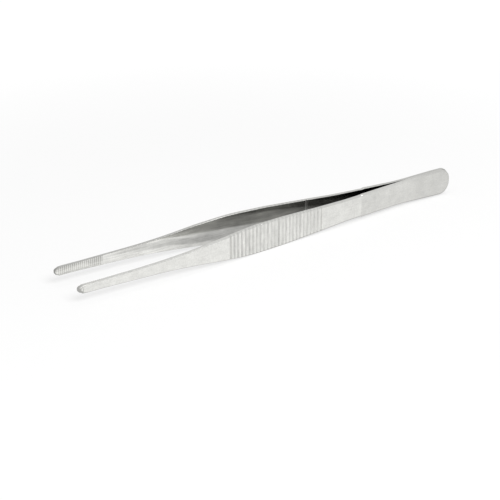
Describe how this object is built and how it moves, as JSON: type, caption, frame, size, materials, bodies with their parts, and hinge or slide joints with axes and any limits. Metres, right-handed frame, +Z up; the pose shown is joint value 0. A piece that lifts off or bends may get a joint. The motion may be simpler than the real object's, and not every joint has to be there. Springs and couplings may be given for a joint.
{
  "type": "thumb forceps",
  "caption": "Thumb forceps with two bowed steel arms joined at a rounded heel, cross-ridged grips and fine cross-cut jaws.",
  "frame": {"origin": "bottom centre of the forceps as they lie on their long edges: midway along, on the plane between the two arms, at the surface they rest on", "axes": "+X from the jaws to the heel, +Y across the opening from the left arm to the right arm, +Z up across the width of the blades"},
  "size_m": [0.145, 0.0162, 0.0093],
  "materials": {
    "steel": "satin ground stainless steel, brighter inner faces"
  },
  "bodies": {
    "root": {"left_arm": "steel", "right_arm": "steel"}
  },
  "joints": []
}
